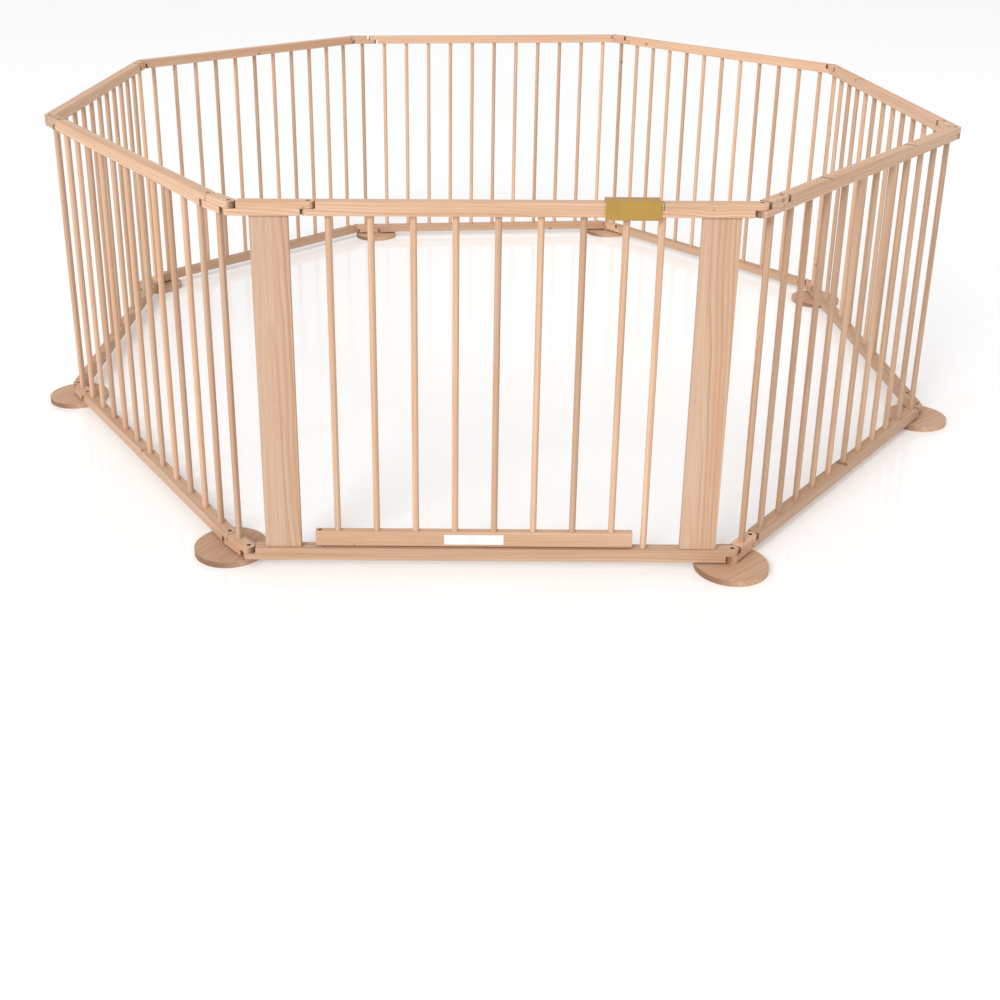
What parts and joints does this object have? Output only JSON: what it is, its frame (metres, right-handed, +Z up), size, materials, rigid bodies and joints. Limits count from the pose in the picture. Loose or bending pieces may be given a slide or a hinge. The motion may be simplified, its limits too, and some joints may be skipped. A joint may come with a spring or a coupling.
{
  "type": "playpen",
  "caption": "Folding wooden playpen: barred panels joined into a ring by double-hinged corner links, with a hinged front gate and a sliding latch.",
  "frame": {"origin": "centre of the pen on the floor, which is the middle of the bottom of the bounding box", "axes": "+Z up; the gate panel faces -Y and runs along X, so +X is to the right of someone facing the gate from outside; +Y points to the back panel"},
  "size_m": [2.1666, 2.5116, 0.7044],
  "materials": {
    "rail_pine": "clear satin lacquer on planed pine",
    "bar_pine": "clear satin lacquer on turned pine",
    "board_pine": "clear satin lacquer on planed pine",
    "foot_wood": "clear satin lacquer",
    "pin_steel": "plain steel, set deep in its bore",
    "screw_steel": "plain steel",
    "latch_plastic": "moulded plastic, fine satin",
    "label_card": "blank printed film"
  },
  "bodies": {
    "gate_panel": {"gate_panel_bottom_rail": "rail_pine", "hinge_side_top_rail": "rail_pine", "latch_side_top_rail": "rail_pine", "hinge_side_board": "board_pine", "latch_side_board": "board_pine", "gate_post_bar": "bar_pine", "gate_hinge_pins": "pin_steel"},
    "gate": {"gate_top_rail": "rail_pine", "gate_bottom_rail": "rail_pine", "gate_bars": "bar_pine", "gate_label": "label_card", "latch_stop_screw": "screw_steel"},
    "latch": {"latch_sleeve": "latch_plastic"},
    "panel_2": {"panel_2_top_rail": "rail_pine", "panel_2_bottom_rail": "rail_pine", "panel_2_bars": "bar_pine"},
    "panel_3": {"panel_3_top_rail": "rail_pine", "panel_3_bottom_rail": "rail_pine", "panel_3_bars": "bar_pine"},
    "panel_4": {"panel_4_top_rail": "rail_pine", "panel_4_bottom_rail": "rail_pine", "panel_4_bars": "bar_pine"},
    "panel_5": {"panel_5_top_rail": "rail_pine", "panel_5_bottom_rail": "rail_pine", "panel_5_bars": "bar_pine", "corner_5_foot": "foot_wood", "open_pivot_pin_ends": "pin_steel"},
    "panel_6": {"panel_6_top_rail": "rail_pine", "panel_6_bottom_rail": "rail_pine", "panel_6_bars": "bar_pine"},
    "panel_7": {"panel_7_top_rail": "rail_pine", "panel_7_bottom_rail": "rail_pine", "panel_7_bars": "bar_pine"},
    "panel_8": {"panel_8_top_rail": "rail_pine", "panel_8_bottom_rail": "rail_pine", "panel_8_bars": "bar_pine"},
    "link_1": {"corner_1_link": "rail_pine", "corner_1_pins": "pin_steel", "corner_1_foot": "foot_wood"},
    "link_2": {"corner_2_link": "rail_pine", "corner_2_pins": "pin_steel", "corner_2_foot": "foot_wood"},
    "link_3": {"corner_3_link": "rail_pine", "corner_3_pins": "pin_steel", "corner_3_foot": "foot_wood"},
    "link_4": {"corner_4_link": "rail_pine", "corner_4_pins": "pin_steel", "corner_4_foot": "foot_wood"},
    "link_5": {"corner_5_link": "rail_pine", "corner_5_pins": "pin_steel"},
    "link_6": {"corner_6_link": "rail_pine", "corner_6_pins": "pin_steel", "corner_6_foot": "foot_wood"},
    "link_7": {"corner_7_link": "rail_pine", "corner_7_pins": "pin_steel", "corner_7_foot": "foot_wood"},
    "link_8": {"corner_8_link": "rail_pine", "corner_8_pins": "pin_steel", "corner_8_foot": "foot_wood"}
  },
  "joints": [
    {"name": "corner_2_first_pivot", "type": "hinge", "parent": "gate_panel", "child": "link_2", "pos_m": [0.44183, -1.18682, 0.3585], "axis": [0, 0, 1], "range_deg": [0, 39.5]},
    {"name": "corner_2_second_pivot", "type": "hinge", "parent": "link_2", "child": "panel_2", "pos_m": [0.48635, -1.1328, 0.3585], "axis": [0, 0, 1], "range_deg": [0, 28.38]},
    {"name": "corner_3_first_pivot", "type": "hinge", "parent": "panel_2", "child": "link_3", "pos_m": [1.0143, -0.49235, 0.3585], "axis": [0, 0, 1], "range_deg": [-44.27, 0]},
    {"name": "corner_3_second_pivot", "type": "hinge", "parent": "link_3", "child": "panel_3", "pos_m": [1.01369, -0.42236, 0.3585], "axis": [0, 0, 1], "range_deg": [-26.06, 0]},
    {"name": "corner_4_first_pivot", "type": "hinge", "parent": "panel_3", "child": "link_4", "pos_m": [1.00644, 0.40761, 0.3585], "axis": [0, 0, 1], "range_deg": [-29.27, 0]},
    {"name": "corner_4_second_pivot", "type": "hinge", "parent": "link_4", "child": "panel_4", "pos_m": [1.00583, 0.47761, 0.3585], "axis": [0, 0, 1], "range_deg": [0, 51.1]},
    {"name": "corner_5_first_pivot", "type": "hinge", "parent": "panel_4", "child": "link_5", "pos_m": [0.49483, 1.13166, 0.3585], "axis": [0, 0, 1], "range_deg": [0, 26.35]},
    {"name": "corner_5_second_pivot", "type": "hinge", "parent": "link_5", "child": "panel_5", "pos_m": [0.45174, 1.18682, 0.3585], "axis": [0, 0, 1], "range_deg": [-48.05, 0]},
    {"name": "corner_1_second_pivot", "type": "hinge", "parent": "gate_panel", "child": "link_1", "pos_m": [-0.45817, -1.18682, 0.3585], "axis": [0, 0, -1], "range_deg": [-46.9, 0]},
    {"name": "corner_1_first_pivot", "type": "hinge", "parent": "link_1", "child": "panel_8", "pos_m": [-0.50317, -1.13319, 0.3585], "axis": [0, 0, -1], "range_deg": [0, 25.9]},
    {"name": "corner_8_second_pivot", "type": "hinge", "parent": "panel_8", "child": "link_8", "pos_m": [-0.9673, -0.44509, 0.3585], "axis": [0, 0, -1], "range_deg": [-24.72, 0]},
    {"name": "corner_8_first_pivot", "type": "hinge", "parent": "link_8", "child": "panel_7", "pos_m": [-1.00644, -0.38706, 0.3585], "axis": [0, 0, -1], "range_deg": [0, 52.36]},
    {"name": "corner_7_second_pivot", "type": "hinge", "parent": "panel_7", "child": "link_7", "pos_m": [-1.01369, 0.44291, 0.3585], "axis": [0, 0, -1], "range_deg": [-31.54, 0]},
    {"name": "corner_7_first_pivot", "type": "hinge", "parent": "link_7", "child": "panel_6", "pos_m": [-1.0143, 0.51291, 0.3585], "axis": [0, 0, -1], "range_deg": [-43.44, 0]},
    {"name": "corner_6_second_pivot", "type": "hinge", "parent": "panel_6", "child": "link_6", "pos_m": [-0.44559, 1.11745, 0.3585], "axis": [0, 0, -1], "range_deg": [0, 32.47]},
    {"name": "gate_hinge", "type": "hinge", "parent": "gate_panel", "child": "gate", "pos_m": [-0.32417, -1.18682, 0.3585], "axis": [0, 0, -1], "range_deg": [0, 90]},
    {"name": "latch_slide", "type": "slide", "parent": "gate", "child": "latch", "axis": [-1, 0, 0], "range_m": [0, 0.034]}
  ],
  "couplings": [
    {"joint": "corner_2_first_pivot", "follows": "corner_1_second_pivot", "ratio": -0.8422},
    {"joint": "corner_2_second_pivot", "follows": "corner_1_first_pivot", "ratio": 1.0955},
    {"joint": "corner_3_first_pivot", "follows": "corner_1_second_pivot", "ratio": 0.94381},
    {"joint": "corner_3_second_pivot", "follows": "corner_1_first_pivot", "ratio": -1.0058},
    {"joint": "corner_4_first_pivot", "follows": "corner_1_first_pivot", "ratio": -1.1298},
    {"joint": "corner_4_second_pivot", "follows": "corner_1_second_pivot", "ratio": -1.0895},
    {"joint": "corner_5_first_pivot", "follows": "corner_1_first_pivot", "ratio": 1.0172},
    {"joint": "corner_5_second_pivot", "follows": "corner_1_second_pivot", "ratio": 1.0244},
    {"joint": "corner_8_second_pivot", "follows": "corner_1_first_pivot", "ratio": -0.95407},
    {"joint": "corner_8_first_pivot", "follows": "corner_1_second_pivot", "ratio": -1.1164},
    {"joint": "corner_7_second_pivot", "follows": "corner_1_first_pivot", "ratio": -1.2175},
    {"joint": "corner_7_first_pivot", "follows": "corner_1_second_pivot", "ratio": 0.92602},
    {"joint": "corner_6_second_pivot", "follows": "corner_1_first_pivot", "ratio": 1.2533}
  ]
}
